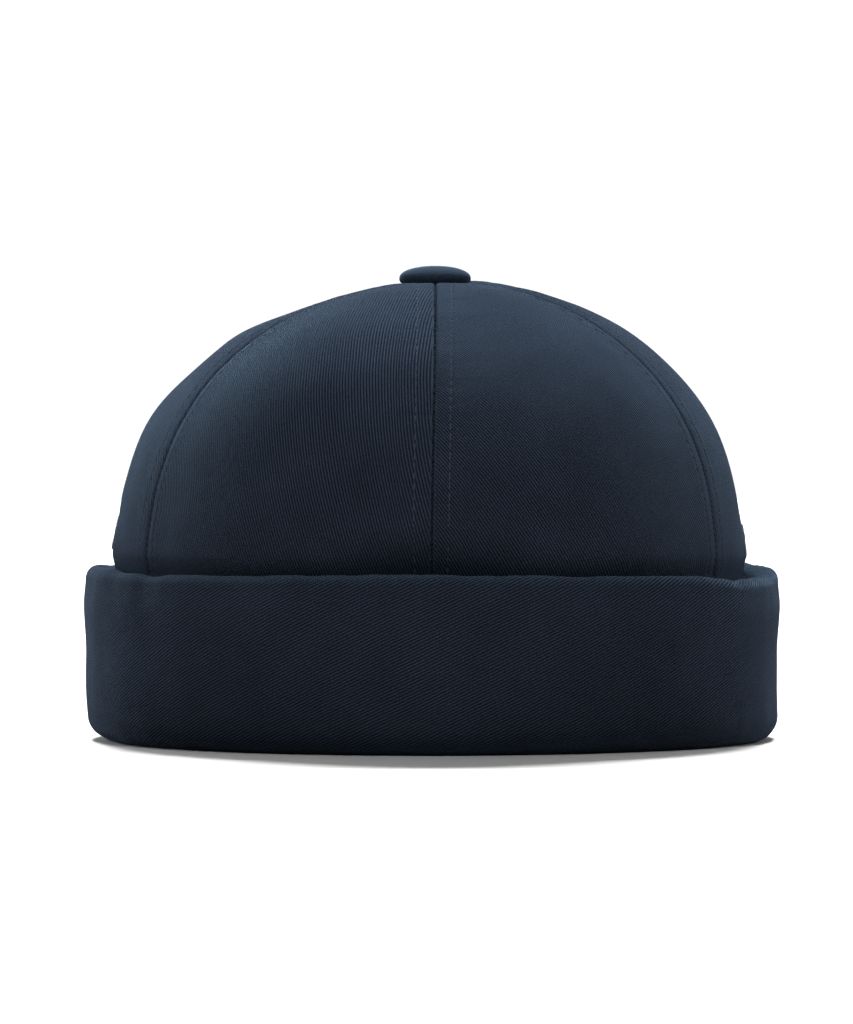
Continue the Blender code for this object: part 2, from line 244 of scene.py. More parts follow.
def seam_radius(angle):
    """Length that turns a distance square to a seam into an angle round the oval."""
    reach = math.hypot(CROWN_HALF_WIDTH * math.sin(angle), CROWN_HALF_LENGTH * math.cos(angle))
    return CROWN_HALF_WIDTH * CROWN_HALF_LENGTH / reach


def seam_relief(distance, along, row_at, seed):
    """Double cloth beside a seam, the groove of the topstitching, and the puckers that it draws up."""
    beyond = distance - row_at
    flank = FLANK_RISE * smooth(distance / FLANK_FOOT) * (1.0 - smooth(beyond / FLANK_FADE))
    stitch = GROOVE_MEAN + GROOVE_SWING * math.cos(2.0 * math.pi * along / STITCH_PITCH)
    groove = STITCH_GROOVE * stitch * math.exp(-((beyond / STITCH_GROOVE_WIDTH) ** 2))
    wave = noise.noise(Vector((along / PUCKER_WAVE, seed, 0.0)))
    wave += SMALL_PUCKER_SHARE * noise.noise(Vector((along / SMALL_PUCKER_WAVE, seed, SMALL_PUCKER_SEED)))
    pucker = PUCKER * wave * math.exp(-abs(beyond) / PUCKER_REACH) * smooth(distance / PUCKER_FOOT)
    return flank - groove + pucker


def uneven(point):
    """The hand of the cloth: broad soft hollows and small ripples."""
    broad = noise.noise(point / BROAD_WAVE + BROAD_START)
    fine = noise.noise(point / FINE_WAVE + FINE_START)
    lumps = sum(lump["rise"] * math.exp(-(point - Vector(lump["at"])).length_squared / lump["reach"] ** 2)
                for lump in SOFT_LUMPS)
    return BROAD_UNEVEN * broad + FINE_UNEVEN * fine + lumps


def panel_face(panel, from_start, from_end, along, depth):
    """A point of a panel, given its distances from the two seams, its place up the cloth, and its depth."""
    share, height = profile_at(along)
    start = math.radians(panel["start"])
    end = math.radians(panel["end"])
    if from_start is not None:
        angle = start + from_start / (share * seam_radius(start))
        distance = from_start
    else:
        angle = end - from_end / (share * seam_radius(end))
        distance = from_end
    relief = panel_relief(panel, angle, along, share)
    swell = panel_swell(panel, angle, share, height) + relief - depth
    point = crown_point(angle, share, height, swell)
    fade = smooth((height - UNEVEN_FOOT) / UNEVEN_FADE)
    fade *= smooth((share - UNEVEN_APEX_SHARE) / UNEVEN_APEX_FADE)
    return point + crown_normal(angle, share, height) * uneven(point) * fade


def panel_relief(panel, angle, along, share):
    """Seam relief from both seams of a panel at an angle."""
    start = math.radians(panel["start"])
    end = math.radians(panel["end"])
    from_start = (angle - start) * share * seam_radius(start)
    from_end = (end - angle) * share * seam_radius(end)
    near_apex = smooth((share - RELIEF_APEX_SHARE) / RELIEF_APEX_FADE)
    relief = 0.0
    if from_start < RELIEF_REACH:
        relief += seam_relief(max(from_start, 0.0), along, STITCH_ROW_START, panel["start"])
    if from_end < RELIEF_REACH:
        relief += seam_relief(max(from_end, 0.0), along, STITCH_ROW_END, panel["end"] + END_SEAM_SEED)
    return relief * near_apex


def seam_fold(degrees):
    """The folded edge at a seam; the front and back seams gape more than the side ones."""
    return OPEN_FOLD if degrees % 180.0 == 0.0 else FLAT_FOLD


def edge_path(fold):
    """(distance in from the seam, depth) along the turned-back allowance, round the fold, over the flank."""
    radius = fold["radius"]
    path = [(step, 2.0 * radius) for step in ALLOWANCE_STEPS]
    for degrees in FOLD_TURNS:
        turn = math.radians(degrees)
        path.append((fold["gap"] + radius * (1.0 + math.cos(turn)), radius * (1.0 - math.sin(turn))))
    return path + [(step, 0.0) for step in FLANK_STEPS]


def crown_panel_mesh(panel):
    """A gore as one sheet, with its flattened cloth map in millimetres."""
    start_path = edge_path(seam_fold(panel["start"]))
    end_path = edge_path(seam_fold(panel["end"]))
    lengths = [0.0]
    for (a_in, a_down), (b_in, b_down) in zip(start_path, start_path[1:]):
        lengths.append(lengths[-1] + math.hypot(b_in - a_in, b_down - a_down))
    seam_length = lengths[FOLD_END]
    side = len(start_path)
    columns = 2 * side + PANEL_MIDDLE_COLUMNS
    start = math.radians(panel["start"])
    end = math.radians(panel["end"])
    cos_grain = math.cos(math.radians(panel["grain"]))
    sin_grain = math.sin(math.radians(panel["grain"]))
    shape = bmesh.new()
    bmesh.ops.create_grid(shape, x_segments=columns - 1, y_segments=PANEL_ROWS, size=0.5)
    cloth_map = {}
    for vert in shape.verts:
        column = round((vert.co.x + 0.5) * (columns - 1))
        along = round((vert.co.y + 0.5) * PANEL_ROWS) / PANEL_ROWS * PANEL_LENGTH
        share = profile_at(along)[0]
        wide_start = share * seam_radius(start)
        wide_end = share * seam_radius(end)
        half = 0.25 * (end - start) * (wide_start + wide_end)
        squeeze = min(1.0, FLANK_SHARE * half / FLANK_STEPS[-1])
        if column < side:
            inward, depth = start_path[column]
            inward *= squeeze
            vert.co = panel_face(panel, inward, None, along, depth)
            flat = inward - half if column >= FOLD_END else lengths[column] - seam_length - half
        elif column >= columns - side:
            inward, depth = end_path[columns - 1 - column]
            inward *= squeeze
            vert.co = panel_face(panel, None, inward, along, depth)
            place = columns - 1 - column
            flat = half - inward if place >= FOLD_END else half + seam_length - lengths[place]
        else:
            part = (column - side + 1) / (PANEL_MIDDLE_COLUMNS + 1)
            first = FLANK_STEPS[-1] * squeeze / wide_start
            last = (end - start) - FLANK_STEPS[-1] * squeeze / wide_end
            turn = first + (last - first) * part
            vert.co = panel_face(panel, turn * wide_start, None, along, 0.0)
            flat = -half + 2.0 * half * turn / (end - start)
        cloth_map[vert.index] = (
            (flat * cos_grain - along * sin_grain) * MILLIMETRES,
            (flat * sin_grain + along * cos_grain) * MILLIMETRES,
        )
    lay_cloth_map(shape, cloth_map)
    return shape


def lay_cloth_map(shape, cloth_map):
    """Writes the flat cloth's millimetres to the mesh's own map."""
    layer = shape.loops.layers.uv.new("cloth")
    for face in shape.faces:
        for loop in face.loops:
            loop[layer].uv = cloth_map[loop.vert.index]


def add_piece(name, shape, material):
    """Makes a smooth-shaded piece of the bmesh, in its place, riding on the cap."""
    mesh = bpy.data.meshes.new(name)
    shape.to_mesh(mesh)
    shape.free()
    mesh.shade_smooth()
    mesh.materials.append(material)
    piece = bpy.data.objects.new(name, mesh)
    bpy.context.scene.collection.objects.link(piece)
    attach(piece, "root")
    return piece


def add_ply(piece, thickness):
    """Gives a sheet the thickness of the cloth, behind the face that shows."""
    ply = piece.modifiers.new("ply", "SOLIDIFY")
    ply.thickness = thickness
    ply.offset = -1.0
    ply.use_quality_normals = True


def add_node(tree, kind, **settings):
    """A new shader node with its settings."""
    node = tree.nodes.new(kind)
    for name, value in settings.items():
        setattr(node, name, value)
    return node


def feed(tree, socket, value):
    """Links a socket to another, or sets its value."""
    if isinstance(value, bpy.types.NodeSocket):
        tree.links.new(value, socket)
    else:
        socket.default_value = value


def calc(tree, operation, first, second=0.0, third=0.0):
    """One step of arithmetic on sockets or numbers."""
    node = add_node(tree, "ShaderNodeMath", operation=operation)
    for socket, value in zip(node.inputs, (first, second, third)):
        feed(tree, socket, value)
    return node.outputs[0]


NOISE_ROUGHNESS = 0.55


def noise_at(tree, place, pattern):
    """A noise value about one half, with the scale and detail of a pattern."""
    node = add_node(tree, "ShaderNodeTexNoise")
    feed(tree, node.inputs["Vector"], place)
    node.inputs["Scale"].default_value = pattern["scale"]
    node.inputs["Detail"].default_value = pattern["detail"]
    node.inputs["Roughness"].default_value = NOISE_ROUGHNESS
    return node.outputs["Fac"]


def noise_about_zero(tree, place, pattern):
    """The same noise, moved to lie about zero."""
    return calc(tree, "SUBTRACT", noise_at(tree, place, pattern), 0.5)


def blend_colours(tree, share, first, second):
    """Mixes two colours by the Mix node's colour sockets, which are its inputs 6 and 7 and its output 2."""
    node = add_node(tree, "ShaderNodeMix", data_type="RGBA")
    feed(tree, node.inputs[0], share)
    feed(tree, node.inputs[6], first)
    feed(tree, node.inputs[7], second)
    return node.outputs[2]


FLOAT_PITCH = 0.62
FLOAT_STEP = 0.37
FLOAT_IN_HEIGHT = 0.35
FLOAT_IN_SHADE = 0.6
CREST_SHARPNESS = 3.0
WALE_WANDER = {"scale": 0.04, "detail": 1.0, "amount": 0.9}
WALE_JITTER = {"scale": 0.9, "detail": 1.0, "amount": 0.25}
FLOAT_JITTER = {"scale": 0.7, "detail": 1.0, "amount": 1.4}
LINT = {"scale": 3.4, "detail": 2.0, "height": 0.3, "shade": 0.45}
YARN_STREAKS = {"scale": 1.4, "detail": 2.0, "shade": 0.6}
MOTTLE = {"scale": 60.0, "detail": 3.0, "amount": 0.5}
FURROW_ROUGHNESS = 0.92
CREST_POLISH = 0.08


def make_twill_weave():
    """Steep warp-faced twill on a map in millimetres: round wales, the floats along them, and lint, with
    painted shade darkening the colour in the furrows and where the floats dip in.
    """
    tree = bpy.data.node_groups.new("twill weave", "ShaderNodeTree")
    for name, way, kind in (
        ("Cloth Map", "INPUT", "NodeSocketVector"),
        ("Place", "INPUT", "NodeSocketVector"),
        ("Wale Angle", "INPUT", "NodeSocketFloat"),
        ("Wale Pitch", "INPUT", "NodeSocketFloat"),
        ("Yarn Colour", "INPUT", "NodeSocketColor"),
        ("Shaded Furrow Colour", "INPUT", "NodeSocketColor"),
        ("Colour", "OUTPUT", "NodeSocketColor"),
        ("Height", "OUTPUT", "NodeSocketFloat"),
        ("Roughness", "OUTPUT", "NodeSocketFloat"),
    ):
        tree.interface.new_socket(name, in_out=way, socket_type=kind)
    given = add_node(tree, "NodeGroupInput").outputs
    result = add_node(tree, "NodeGroupOutput").inputs
    parts = add_node(tree, "ShaderNodeSeparateXYZ")
    feed(tree, parts.inputs[0], given["Cloth Map"])
    cos_turn = calc(tree, "COSINE", given["Wale Angle"])
    sin_turn = calc(tree, "SINE", given["Wale Angle"])
    across = calc(tree, "SUBTRACT", calc(tree, "MULTIPLY", parts.outputs[1], cos_turn),
                  calc(tree, "MULTIPLY", parts.outputs[0], sin_turn))
    along = calc(tree, "ADD", calc(tree, "MULTIPLY", parts.outputs[0], cos_turn),
                 calc(tree, "MULTIPLY", parts.outputs[1], sin_turn))
    wander = noise_about_zero(tree, given["Cloth Map"], WALE_WANDER)
    jitter = noise_about_zero(tree, given["Cloth Map"], WALE_JITTER)
    wale = calc(tree, "DIVIDE", across, given["Wale Pitch"])
    wale = calc(tree, "ADD", wale, calc(tree, "MULTIPLY", wander, WALE_WANDER["amount"]))
    wale = calc(tree, "ADD", wale, calc(tree, "MULTIPLY", jitter, WALE_JITTER["amount"]))
    ridge = round_ridge(tree, wale)
    number = calc(tree, "FLOOR", wale)
    floats = calc(tree, "ADD", calc(tree, "DIVIDE", along, FLOAT_PITCH),
                  calc(tree, "MULTIPLY", number, FLOAT_STEP))
    float_jitter = noise_at(tree, given["Cloth Map"], FLOAT_JITTER)
    bead = round_ridge(tree, calc(tree, "MULTIPLY_ADD", float_jitter, FLOAT_JITTER["amount"], floats))
    lint = noise_about_zero(tree, given["Cloth Map"], LINT)
    streaks = noise_about_zero(tree, given["Cloth Map"], YARN_STREAKS)
    height = calc(tree, "MULTIPLY", ridge,
                  calc(tree, "MULTIPLY_ADD", bead, FLOAT_IN_HEIGHT, 1.0 - FLOAT_IN_HEIGHT))
    feed(tree, result["Height"], calc(tree, "MULTIPLY_ADD", lint, LINT["height"], height))
    # Painted shade: the colour stays near the yarn colour on the crests of the wales and falls to the far
    # darker furrow colour in the grooves and at the dipping ends of the floats; lint and yarn streaks add
    # the cloth's own uneven tone.
    crest = calc(tree, "POWER", ridge, CREST_SHARPNESS)
    shade = calc(tree, "MULTIPLY", crest,
                 calc(tree, "MULTIPLY_ADD", bead, FLOAT_IN_SHADE, 1.0 - FLOAT_IN_SHADE))
    shade = calc(tree, "MULTIPLY_ADD", lint, LINT["shade"], shade)
    shade = calc(tree, "MULTIPLY_ADD", streaks, YARN_STREAKS["shade"], shade)
    colour = blend_colours(tree, shade, given["Shaded Furrow Colour"], given["Yarn Colour"])
    mottle = noise_at(tree, given["Place"], MOTTLE)
    bright = calc(tree, "MULTIPLY_ADD", mottle, MOTTLE["amount"], 1.0 - MOTTLE["amount"] / 2.0)
    scaled = add_node(tree, "ShaderNodeVectorMath", operation="SCALE")
    feed(tree, scaled.inputs[0], colour)
    feed(tree, scaled.inputs["Scale"], bright)
    feed(tree, result["Colour"], scaled.outputs[0])
    feed(tree, result["Roughness"], calc(tree, "MULTIPLY_ADD", ridge, -CREST_POLISH, FURROW_ROUGHNESS))
    return tree


def round_ridge(tree, phase):
    """A row of rounded ridges, one for each whole step of the phase."""
    swing = calc(tree, "MULTIPLY_ADD", calc(tree, "FRACT", phase), 2.0, -1.0)
    return calc(tree, "SUBTRACT", 1.0, calc(tree, "MULTIPLY", swing, swing))


twill_weave = make_twill_weave()
WALE_PITCH = 0.80
WALE_RELIEF = 0.00028
SHEEN_WEIGHT = 0.2
SHEEN_ROUGHNESS = 0.16
SHEEN_TINT = (0.48, 0.68, 0.90, 1.0)


def twill_material(name, wale_degrees, relief, yarn, shaded_furrow):
    """Navy cotton twill, laid by the piece's cloth map, with painted shade in its furrows."""
    material = bpy.data.materials.new(name)
    material.use_nodes = True
    tree = material.node_tree
    shader = tree.nodes["Principled BSDF"]
    weave = add_node(tree, "ShaderNodeGroup", node_tree=twill_weave)
    cloth_map = add_node(tree, "ShaderNodeUVMap", uv_map="cloth")
    place = add_node(tree, "ShaderNodeTexCoord")
    feed(tree, weave.inputs["Cloth Map"], cloth_map.outputs["UV"])
    feed(tree, weave.inputs["Place"], place.outputs["Object"])
    weave.inputs["Wale Angle"].default_value = math.radians(wale_degrees)
    weave.inputs["Wale Pitch"].default_value = WALE_PITCH
    weave.inputs["Yarn Colour"].default_value = (*yarn, 1.0)
    weave.inputs["Shaded Furrow Colour"].default_value = (*shaded_furrow, 1.0)
    bump = add_node(tree, "ShaderNodeBump")
    bump.inputs["Strength"].default_value = 1.0
    bump.inputs["Distance"].default_value = relief
    feed(tree, bump.inputs["Height"], weave.outputs["Height"])
    feed(tree, shader.inputs["Base Color"], weave.outputs["Colour"])
    feed(tree, shader.inputs["Roughness"], weave.outputs["Roughness"])
    feed(tree, shader.inputs["Normal"], bump.outputs["Normal"])
    shader.inputs["Specular IOR Level"].default_value = 0.0
    shader.inputs["Sheen Weight"].default_value = SHEEN_WEIGHT
    shader.inputs["Sheen Roughness"].default_value = SHEEN_ROUGHNESS
    shader.inputs["Sheen Tint"].default_value = SHEEN_TINT
    return material


PANEL_WALE = -65.0
# The yarn colour is the navy on the crests; the shaded furrow colour is far darker, painted shade in the
# grooves between the wales on top of their bump.
YARN_NAVY = (0.0520, 0.0665, 0.1015)
SHADED_FURROW_NAVY = (0.0135, 0.0174, 0.0270)
crown_twill = twill_material("crown twill", PANEL_WALE, WALE_RELIEF, YARN_NAVY, SHADED_FURROW_NAVY)
panel_pieces = {}
for panel in PANELS:
    piece = add_piece("cloth_" + panel["name"], crown_panel_mesh(panel), crown_twill)
    add_ply(piece, CLOTH)
    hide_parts("crown_panel_" + panel["name"])
    panel_pieces[panel["name"]] = piece

# Seam stitching
# A row of lockstitch in navy polyester thread runs up each side of every seam, through both layers, and
# shows on the face and on the tape inside. The stitches that join the panels show between the two folds.
STITCH_LENGTH = 0.0023
THREAD_WIDTH = 0.00042
THREAD_HEIGHT = 0.00028
STITCH_ROW_TOP = PANEL_LENGTH - 0.0088
FACE_LIFT = 0.00009
INSIDE_LIFT = -0.00006
TAPE_GAP = 0.00004
TAPE_DEPTH = 2.0 * OPEN_FOLD["radius"] + TAPE_GAP
TAPE_PLY = 0.00032
TAPE_HALF_WIDTH = 0.0062
TAPE_ROWS = 90
TAPE_ACROSS = (-1.0, -0.8, -0.5, -0.2, 0.0, 0.2, 0.5, 0.8, 1.0)
TAPE_NARROWS_AT = 0.18
TAPE_WALE = 45.0
TAPE_RELIEF = 0.4 * WALE_RELIEF
SEAM_THREAD = {"colour": (0.066, 0.071, 0.098), "roughness": 0.8, "gloss": 0.0}
STITCH_SIDES = 6
STITCH_RINGS = 5
THREAD_FUZZ = {"scale": 2600.0, "detail": 2.0, "relief": 0.00006, "dark": 0.6, "light": 1.4}


def thread_material(name, thread):
    """Sewing thread, a little uneven in tone, with its fuzz."""
    material = bpy.data.materials.new(name)
    material.use_nodes = True
    tree = material.node_tree
    shader = tree.nodes["Principled BSDF"]
    place = add_node(tree, "ShaderNodeTexCoord")
    fuzz = noise_at(tree, place.outputs["Object"], THREAD_FUZZ)
    dark = (*[THREAD_FUZZ["dark"] * part for part in thread["colour"]], 1.0)
    light = (*[THREAD_FUZZ["light"] * part for part in thread["colour"]], 1.0)
    feed(tree, shader.inputs["Base Color"], blend_colours(tree, fuzz, dark, light))
    bump = add_node(tree, "ShaderNodeBump")
    bump.inputs["Distance"].default_value = THREAD_FUZZ["relief"]
    feed(tree, bump.inputs["Height"], fuzz)
    feed(tree, shader.inputs["Normal"], bump.outputs["Normal"])
    shader.inputs["Roughness"].default_value = thread["roughness"]
    shader.inputs["Specular IOR Level"].default_value = thread["gloss"]
    return material


def add_stitch(shape, place, run, outward, length, width, height):
    """One stitch, a thread lying along its run with its ends sunk in the cloth."""
    run = run.normalized()
    side = outward.cross(run).normalized()
    up = run.cross(side).normalized()
    turn = Matrix((run, side, up)).transposed().to_4x4()
    size = Matrix.Diagonal((length / 2.0, width / 2.0, height / 2.0, 1.0))
    bmesh.ops.create_uvsphere(
        shape, u_segments=STITCH_SIDES, v_segments=STITCH_RINGS, radius=1.0,
        matrix=Matrix.Translation(place) @ turn @ size @ Matrix.Rotation(math.pi / 2.0, 4, "Y"),
    )


def stitch_row(panel, side, distance, depth, lift):
    """A row of stitches up a panel at one distance from its seam."""
    shape = bmesh.new()
    from_start = distance if side == "start" else None
    from_end = distance if side == "end" else None
    for index in range(1, int(STITCH_ROW_TOP / STITCH_PITCH)):
        along = (index + 0.5) * STITCH_PITCH
        low = panel_face(panel, from_start, from_end, along - 0.5 * STITCH_LENGTH, depth)
        high = panel_face(panel, from_start, from_end, along + 0.5 * STITCH_LENGTH, depth)
        outward = crown_normal(math.radians(panel[side]), *profile_at(along))
        middle = (low + high) / 2.0 + outward * lift
        add_stitch(shape, middle, high - low, outward, STITCH_LENGTH, THREAD_WIDTH, THREAD_HEIGHT)
    return shape


def joined(shapes):
    """One bmesh of several."""
    whole = bmesh.new()
    for shape in shapes:
        mesh = bpy.data.meshes.new("part")
        shape.to_mesh(mesh)
        shape.free()
        whole.from_mesh(mesh)
        bpy.data.meshes.remove(mesh)
    return whole


def seam_tape_mesh(before, after):
    """A straight tape over the inside of one seam, from the hem to the button."""
    strips = len(TAPE_ACROSS) - 1
    shape = bmesh.new()
    bmesh.ops.create_grid(shape, x_segments=strips, y_segments=TAPE_ROWS, size=0.5)
    cloth_map = {}
    for vert in shape.verts:
        inward = TAPE_ACROSS[round((vert.co.x + 0.5) * strips)] * TAPE_HALF_WIDTH
        along = round((vert.co.y + 0.5) * TAPE_ROWS) / TAPE_ROWS * PANEL_LENGTH
        narrow = min(1.0, profile_at(along)[0] / TAPE_NARROWS_AT)
        if inward < 0.0:
            vert.co = panel_face(before, None, -inward * narrow, along, TAPE_DEPTH)
        else:
            vert.co = panel_face(after, inward * narrow, None, along, TAPE_DEPTH)
        cloth_map[vert.index] = (inward * MILLIMETRES, along * MILLIMETRES)
    lay_cloth_map(shape, cloth_map)
    return shape


seam_tape_twill = twill_material("seam tape", TAPE_WALE, TAPE_RELIEF, YARN_NAVY, SHADED_FURROW_NAVY)
for before, after in zip(PANELS[-1:] + PANELS[:-1], PANELS):
    tape_mesh = seam_tape_mesh(before, after)
    tape = add_piece("seam_tape_" + after["name"], tape_mesh, seam_tape_twill)
    add_ply(tape, TAPE_PLY)
seam_thread = thread_material("seam thread", SEAM_THREAD)
face_rows = []
inside_rows = []
for panel in PANELS:
    for side, distance in (("start", STITCH_ROW_START), ("end", STITCH_ROW_END)):
        face_rows.append(stitch_row(panel, side, distance, 0.0, FACE_LIFT))
        inside_rows.append(stitch_row(panel, side, distance, TAPE_DEPTH + TAPE_PLY, INSIDE_LIFT))
add_piece("topstitching", joined(face_rows), seam_thread)
add_piece("bobbin_stitching", joined(inside_rows), seam_thread)

DITCH_PITCH = 0.0030
DITCH_SHARE = 1.1
DITCH_HALF_RUN = 0.0005
DITCH_STITCH = {"length": 0.0013, "width": 0.0009, "height": 0.0004}
# The ditch stitches are the same navy thread, coloured far darker here as painted shade down in the gap
# between the folds.
SHADED_DITCH_THREAD = {"colour": (0.022, 0.026, 0.040), "roughness": 0.9, "gloss": 0.0}
ditch_rows = []
for panel in PANELS:
    shape = bmesh.new()
    deep = DITCH_SHARE * seam_fold(panel["start"])["radius"]
    for index in range(1, int(STITCH_ROW_TOP / DITCH_PITCH)):
        along = (index + 0.5) * DITCH_PITCH
        low = panel_face(panel, 0.0, None, along - DITCH_HALF_RUN, deep)
        high = panel_face(panel, 0.0, None, along + DITCH_HALF_RUN, deep)
        outward = crown_normal(math.radians(panel["start"]), *profile_at(along))
        add_stitch(shape, (low + high) / 2.0, high - low, outward, **DITCH_STITCH)
    ditch_rows.append(shape)
shaded_ditch_thread = thread_material("ditch thread in painted shade", SHADED_DITCH_THREAD)
add_piece("ditch_stitching", joined(ditch_rows), shaded_ditch_thread)

# Eyelets
# A round hole punched in each side panel and overcast with satin thread, in close radial stitches that wrap
# over the edge and stand up as a small ring on both faces of the cloth.
EYELET_HOLE_RADIUS = 0.00204
EYELET_HOLE_SEGMENTS = 40
EYELET_PUNCH_LENGTH = 0.008
EYELET_SEAT_REACH = 0.0045
EYELET_RADIUS = 0.0048
EYELET_SLANT = 0.05
EYELET_UNEVEN = 0.05
EYELET_UNEVEN_FROM = 0.6
EYELET_STITCH_SEED = 1.7
EYELET_SIDE_SEED = 90.0
EYELET_STITCHES = 52
EYELET_THREAD = 0.00019
EYELET_SECTION = (
    {"out": 1.00, "up": 0.00002},
    {"out": 0.95, "up": 0.00014},
    {"out": 0.80, "up": 0.00026},
    {"out": 0.55, "up": 0.00026},
    {"out": 0.39, "up": 0.00010},
    {"out": 0.35, "up": -0.00040},
    {"out": 0.40, "up": -0.00095},
    {"out": 0.58, "up": -0.00115},
    {"out": 0.76, "up": -0.00085},
)
SATIN_THREAD = {"colour": (0.105, 0.102, 0.175), "roughness": 0.38, "gloss": 0.5}
satin_thread = thread_material("eyelet satin thread", SATIN_THREAD)


def eyelet_seat(node, panel):
    """(place on the cloth, outward direction) of a panel's eyelet, from its place in the frame."""
    low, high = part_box(node)
    middle = (Vector(low) + Vector(high)) / 2.0
    angle = math.atan2(middle.x / CROWN_HALF_WIDTH, -middle.y / CROWN_HALF_LENGTH)
    along = float(np.interp(middle.z, profile_height, profile_along))
    start = math.radians(panel["start"])
    from_start = (angle - start) * profile_at(along)[0] * seam_radius(start)
    place = panel_face(panel, from_start, None, along, 0.0)
    up = panel_face(panel, from_start, None, along + EYELET_SEAT_REACH, 0.0)
    up -= panel_face(panel, from_start, None, along - EYELET_SEAT_REACH, 0.0)
    aside = panel_face(panel, from_start + EYELET_SEAT_REACH, None, along, 0.0)
    aside -= panel_face(panel, from_start - EYELET_SEAT_REACH, None, along, 0.0)
    return place, aside.cross(up).normalized()


def keep_evaluated(piece):
    """Applies a piece's modifiers."""
    graph = bpy.context.evaluated_depsgraph_get()
    shaped = piece.evaluated_get(graph)
    mesh = bpy.data.meshes.new_from_object(shaped, preserve_all_data_layers=True, depsgraph=graph)
    old = piece.data
    piece.modifiers.clear()
    piece.data = mesh
    bpy.data.meshes.remove(old)


for node, panel in (("eyelet_left", PANELS[4]), ("eyelet_right", PANELS[1])):
    place, outward = eyelet_seat(node, panel)
    turn = outward.to_track_quat("Z", "Y").to_matrix().to_4x4()
    seat = Matrix.Translation(place) @ turn
    curve = bpy.data.curves.new(node + "_threads", "CURVE")
    curve.dimensions = "3D"
    curve.bevel_depth = EYELET_THREAD
    curve.bevel_resolution = 1
    curve.use_fill_caps = True
    for index in range(EYELET_STITCHES):
        spread = 2.0 * math.pi * index / EYELET_STITCHES
        stray = noise.noise(Vector((index * EYELET_STITCH_SEED, place.x * EYELET_SIDE_SEED, 0.0)))
        spline = curve.splines.new("POLY")
        spline.points.add(len(EYELET_SECTION) - 1)
        for number, row in enumerate(EYELET_SECTION):
            slant = spread + EYELET_SLANT * (1.0 - row["out"])
            reach = EYELET_RADIUS * row["out"]
            if row["out"] > EYELET_UNEVEN_FROM:
                reach *= 1.0 + EYELET_UNEVEN * stray
            local = Vector((reach * math.cos(slant), reach * math.sin(slant), row["up"]))
            spline.points[number].co = (*(seat @ local), 1.0)
    loops = bpy.data.objects.new(node + "_threads", curve)
    bpy.context.scene.collection.objects.link(loops)
    graph = bpy.context.evaluated_depsgraph_get()
    mesh = bpy.data.meshes.new_from_object(loops.evaluated_get(graph))
    bpy.data.objects.remove(loops)
    shape = bmesh.new()
    shape.from_mesh(mesh)
    bpy.data.meshes.remove(mesh)
    ring = add_piece(node + "_ring", shape, satin_thread)
    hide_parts(node)
    shape = bmesh.new()
    bmesh.ops.create_cone(
        shape, cap_ends=True, segments=EYELET_HOLE_SEGMENTS, radius1=EYELET_HOLE_RADIUS,
        radius2=EYELET_HOLE_RADIUS, depth=EYELET_PUNCH_LENGTH, matrix=seat,
    )
    mesh = bpy.data.meshes.new("punch")
    shape.to_mesh(mesh)
    shape.free()
    punch = bpy.data.objects.new("punch", mesh)
    bpy.context.scene.collection.objects.link(punch)
    hole = panel_pieces[panel["name"]].modifiers.new("punched hole", "BOOLEAN")
    hole.operation = "DIFFERENCE"
    hole.solver = "EXACT"
    hole.object = punch
    keep_evaluated(panel_pieces[panel["name"]])
    bpy.data.objects.remove(punch)

# Top button
# A domed metal blank covered with the same twill, its cloth gathered under the rim. A rivet through the
# point where the six panels meet holds it down on the crown.
button_low, button_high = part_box("top_button")
BUTTON_RADIUS = 0.010
BUTTON_HEIGHT = 0.0047
BUTTON_RIM_UP = 0.0013
BUTTON_TOP = button_high[2]
BUTTON_SEAT = BUTTON_TOP - BUTTON_HEIGHT
BUTTON_RIM_HEIGHT = BUTTON_SEAT + BUTTON_RIM_UP
BUTTON_FULLNESS = 0.88
BUTTON_SINK = 0.0004
BUTTON_STEPS = 12
BUTTON_UNDERSIDE = (
    {"out": 0.99, "down": 0.35},
    {"out": 0.97, "down": 0.65},
    {"out": 0.93, "down": 0.88},
    {"out": 0.86, "down": 1.0},
    {"out": 0.70, "down": 1.0},
    {"out": 0.50, "down": 0.8},
    {"out": 0.22, "down": 0.8},
)
BUTTON_TURNS = 104
BUTTON_PLEATS = 26
PLEAT_DEPTH = 0.00016
PLEAT_WAVE = 0.004
PLEAT_STRAY = 2.0
PLEATS_BELOW = BUTTON_RIM_HEIGHT + 0.0004
PLEAT_FADE = 0.0012
BUTTON_RIPPLE = 0.00008
BUTTON_RIPPLE_WAVE = 0.0035
BUTTON_WALE = 20.0
BUTTON_RELIEF = 0.06 * WALE_RELIEF
# The button's furrow colour is only a little darker than its yarn, a light painted shade in its grooves.
BUTTON_YARN = (0.041, 0.056, 0.082)
BUTTON_SHADED_FURROW = (0.031, 0.042, 0.062)
MERGE_DISTANCE = 1e-6
button_centre = Vector((lean(CROWN_TOP), 0.0, 0.0))


def turned(profile, steps):
    """A round shape about the vertical, from the (radius, height) points of its profile."""
    shape = bmesh.new()
    verts = [shape.verts.new((radius, 0.0, height)) for radius, height in profile]
    edges = [shape.edges.new(pair) for pair in zip(verts, verts[1:])]
    bmesh.ops.spin(
        shape, geom=verts + edges, cent=(0.0, 0.0, 0.0), axis=(0.0, 0.0, 1.0), dvec=(0.0, 0.0, 0.0),
        angle=2.0 * math.pi, steps=steps, use_merge=True,
    )
    bmesh.ops.remove_doubles(shape, verts=shape.verts, dist=MERGE_DISTANCE)
    bmesh.ops.recalc_face_normals(shape, faces=shape.faces)
    shape.verts.index_update()
    return shape


